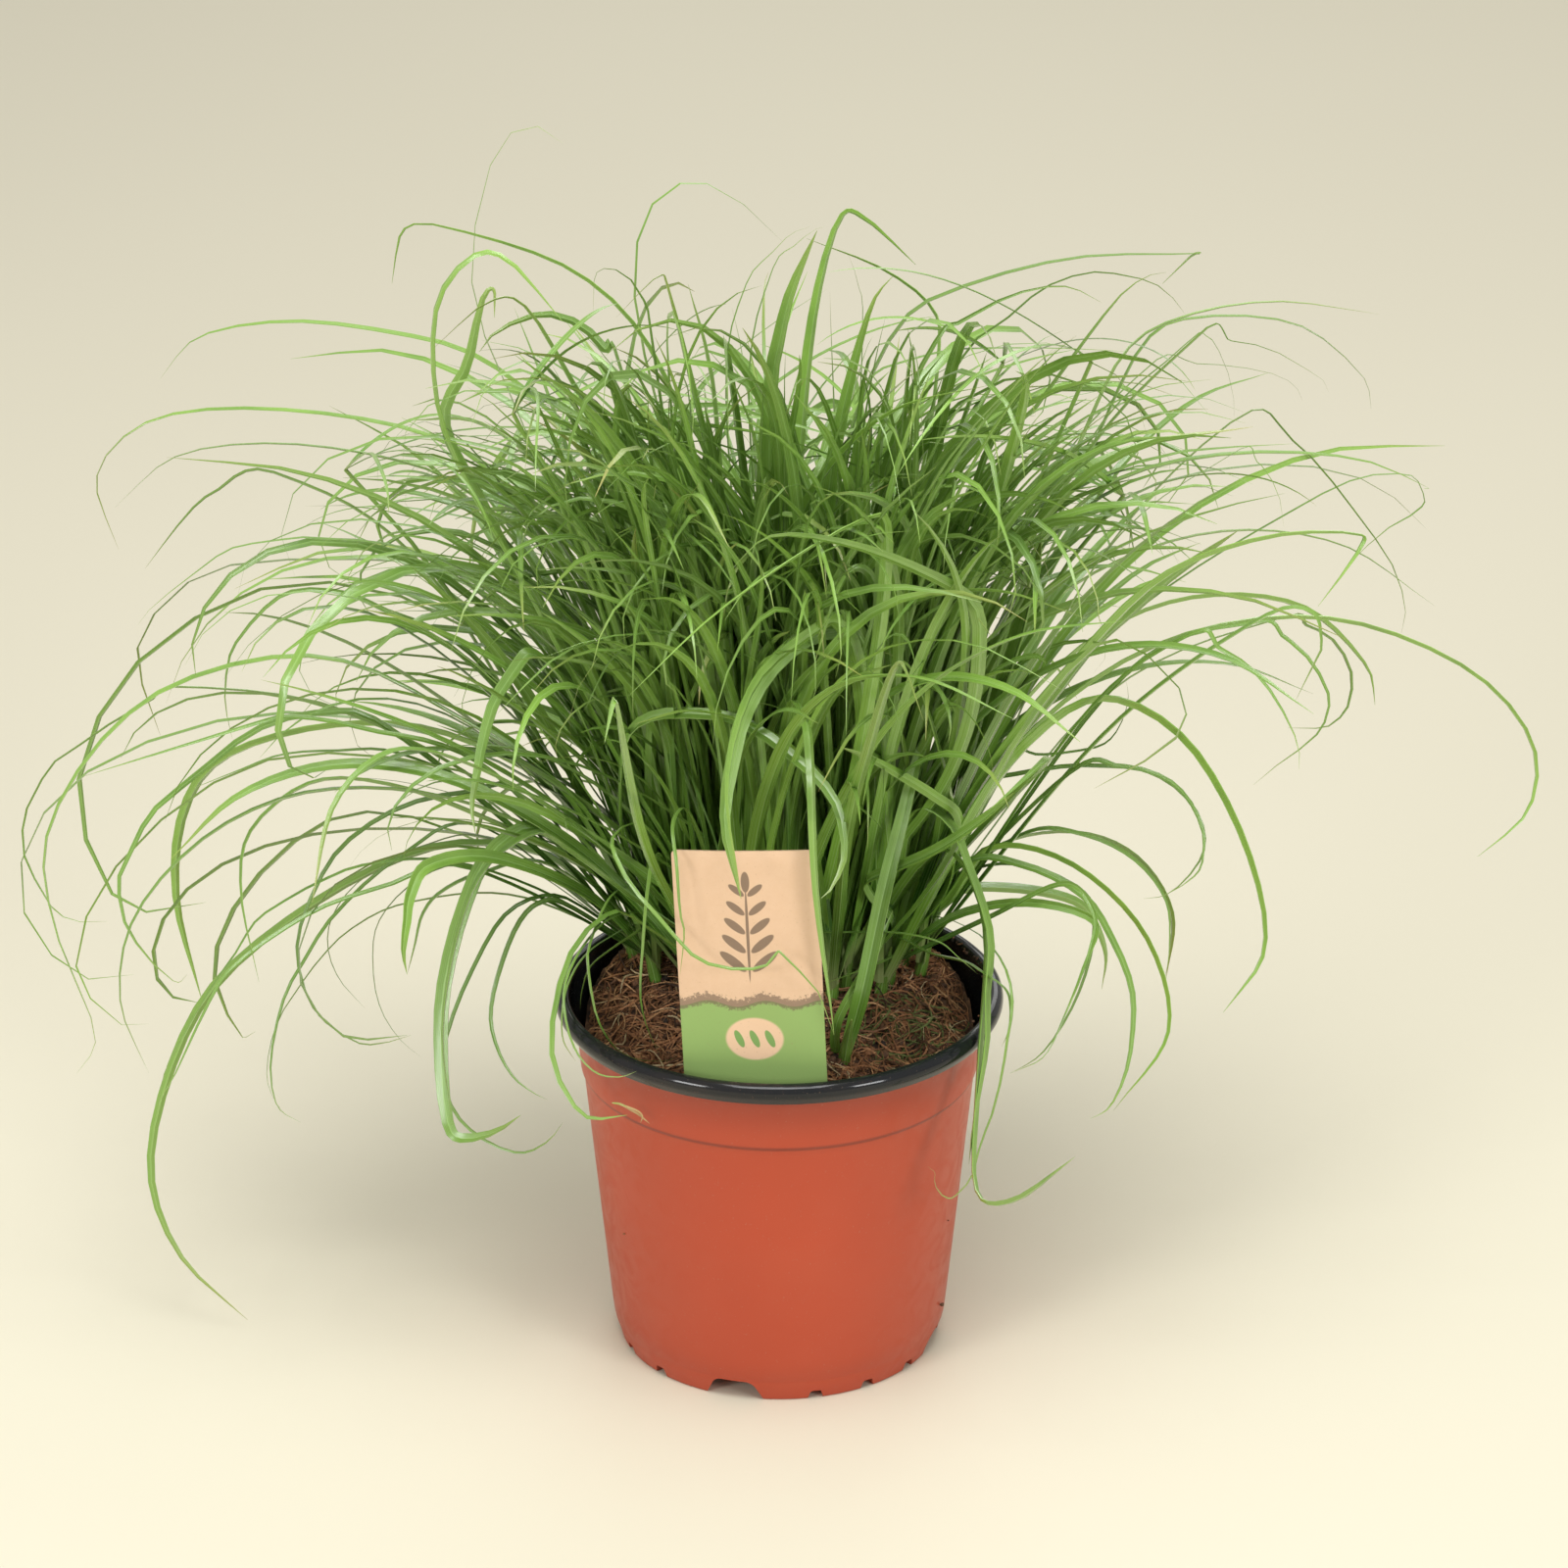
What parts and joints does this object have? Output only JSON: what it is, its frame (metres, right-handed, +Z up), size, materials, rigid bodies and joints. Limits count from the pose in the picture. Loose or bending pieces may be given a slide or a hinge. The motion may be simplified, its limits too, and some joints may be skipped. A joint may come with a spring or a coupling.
{
  "type": "potted umbrella sedge",
  "caption": "Grassy potted umbrella sedge: a dense arching clump of folded leaves in a rimmed nursery pot of soil, with a card label.",
  "frame": {"origin": "on the surface that the pot stands on, under the middle of the whole plant, which is the pot's axis to within 3 mm", "axes": "+Z up along the pot's axis, +X to the right along the clump's widest spread, and the label on the -Y side"},
  "size_m": [0.4035, 0.2891, 0.3392],
  "materials": {
    "pot": "satin terracotta-coloured thermoformed sheet, black inside and on the rolled rim",
    "soil": "fibrous coir and peat, matt and dry on top",
    "plant_label": "uncoated card with a plain two-colour print",
    "sedge_leaf": "glossy folded green leaf with a pale crease and yellowing tip"
  },
  "bodies": {
    "root": {"pot": "pot", "soil": "soil", "plant_label": "plant_label", "shoot_01": "sedge_leaf", "shoot_02": "sedge_leaf", "shoot_03": "sedge_leaf", "shoot_04": "sedge_leaf", "shoot_05": "sedge_leaf", "shoot_06": "sedge_leaf", "shoot_07": "sedge_leaf", "shoot_08": "sedge_leaf", "shoot_09": "sedge_leaf", "shoot_10": "sedge_leaf", "shoot_11": "sedge_leaf", "shoot_12": "sedge_leaf", "shoot_13": "sedge_leaf", "shoot_14": "sedge_leaf", "shoot_15": "sedge_leaf", "shoot_16": "sedge_leaf", "shoot_17": "sedge_leaf", "shoot_18": "sedge_leaf", "shoot_19": "sedge_leaf", "shoot_20": "sedge_leaf", "shoot_21": "sedge_leaf", "shoot_22": "sedge_leaf", "shoot_23": "sedge_leaf", "shoot_24": "sedge_leaf", "shoot_25": "sedge_leaf", "shoot_26": "sedge_leaf", "shoot_27": "sedge_leaf", "shoot_28": "sedge_leaf", "shoot_29": "sedge_leaf", "shoot_30": "sedge_leaf", "shoot_31": "sedge_leaf", "shoot_32": "sedge_leaf", "shoot_33": "sedge_leaf", "shoot_34": "sedge_leaf", "shoot_35": "sedge_leaf", "shoot_36": "sedge_leaf", "shoot_37": "sedge_leaf", "shoot_38": "sedge_leaf", "shoot_39": "sedge_leaf", "shoot_40": "sedge_leaf", "shoot_41": "sedge_leaf", "shoot_42": "sedge_leaf", "shoot_43": "sedge_leaf", "shoot_44": "sedge_leaf", "shoot_45": "sedge_leaf", "shoot_46": "sedge_leaf", "shoot_47": "sedge_leaf", "shoot_48": "sedge_leaf", "shoot_49": "sedge_leaf", "shoot_50": "sedge_leaf", "shoot_51": "sedge_leaf", "shoot_52": "sedge_leaf", "shoot_53": "sedge_leaf", "shoot_54": "sedge_leaf"}
  },
  "joints": []
}
